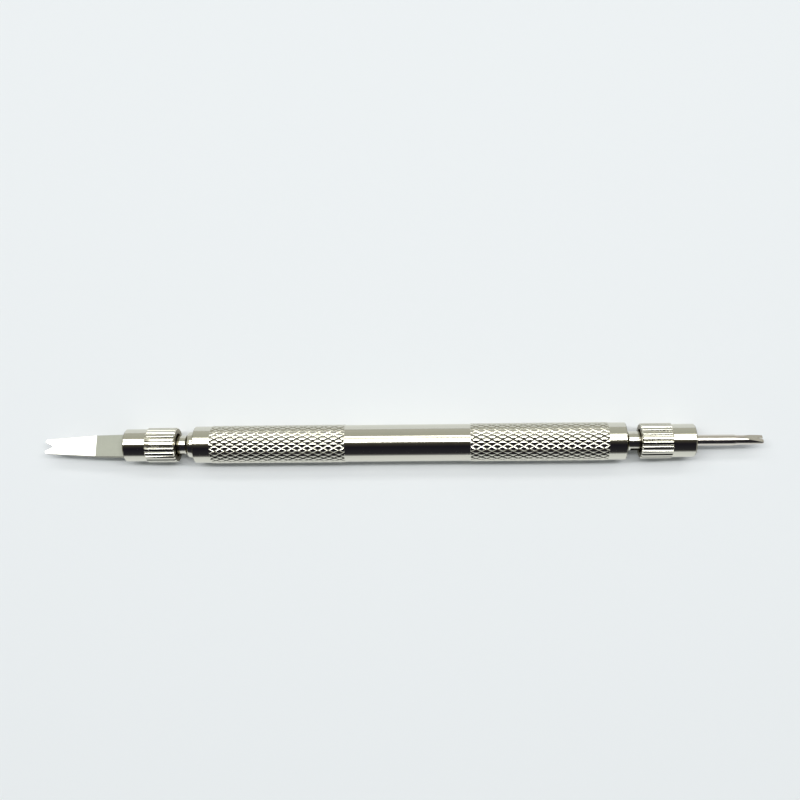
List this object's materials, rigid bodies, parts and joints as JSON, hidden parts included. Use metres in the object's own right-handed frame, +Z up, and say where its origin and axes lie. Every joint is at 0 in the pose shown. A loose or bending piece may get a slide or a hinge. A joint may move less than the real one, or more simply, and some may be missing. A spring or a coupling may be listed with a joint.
{
  "type": "spring bar tool",
  "caption": "Double-ended watch spring bar tool: a knurled steel handle with a screw chuck at each end, holding a wide forked blade and a fine forked pin.",
  "frame": {"origin": "bottom centre of the bounding box: on the bench under the middle of the tool's length, the tool lying on a flat of its knurl", "axes": "+X along the tool from the wide forked blade to the fine forked pin, +Z up, +Y away from the user"},
  "size_m": [0.1398, 0.0074, 0.0074],
  "materials": {
    "handle_nickel": "bright nickel plate over knurled steel",
    "stud_nickel": "bright nickel plate, saw-cut slot",
    "nut_nickel": "bright nickel plate, straight knurl",
    "blade_steel": "satin flats with a polished ground wedge",
    "pin_steel": "polished hardened steel"
  },
  "bodies": {
    "handle": {"handle": "handle_nickel", "blade_chuck_stud": "stud_nickel", "pin_chuck_stud": "stud_nickel"},
    "blade_nut": {"blade_chuck_nut": "nut_nickel"},
    "pin_nut": {"pin_chuck_nut": "nut_nickel"},
    "blade": {"wide_fork_blade": "blade_steel"},
    "pin": {"fine_fork_pin": "pin_steel"}
  },
  "joints": [
    {"name": "blade_nut_turn", "type": "hinge", "parent": "handle", "child": "blade_nut", "pos_m": [-0.04831, 0, 0.00369], "axis": [-1, 0, 0], "range_deg": [0, 1080]},
    {"name": "blade_draw", "type": "slide", "parent": "handle", "child": "blade", "axis": [-1, 0, 0], "range_m": [0, 0.0115]},
    {"name": "pin_nut_turn", "type": "hinge", "parent": "handle", "child": "pin_nut", "pos_m": [0.05183, 0, 0.00369], "axis": [1, 0, 0], "range_deg": [0, 1080]},
    {"name": "pin_draw", "type": "slide", "parent": "handle", "child": "pin", "axis": [1, 0, 0], "range_m": [0, 0.012]}
  ]
}
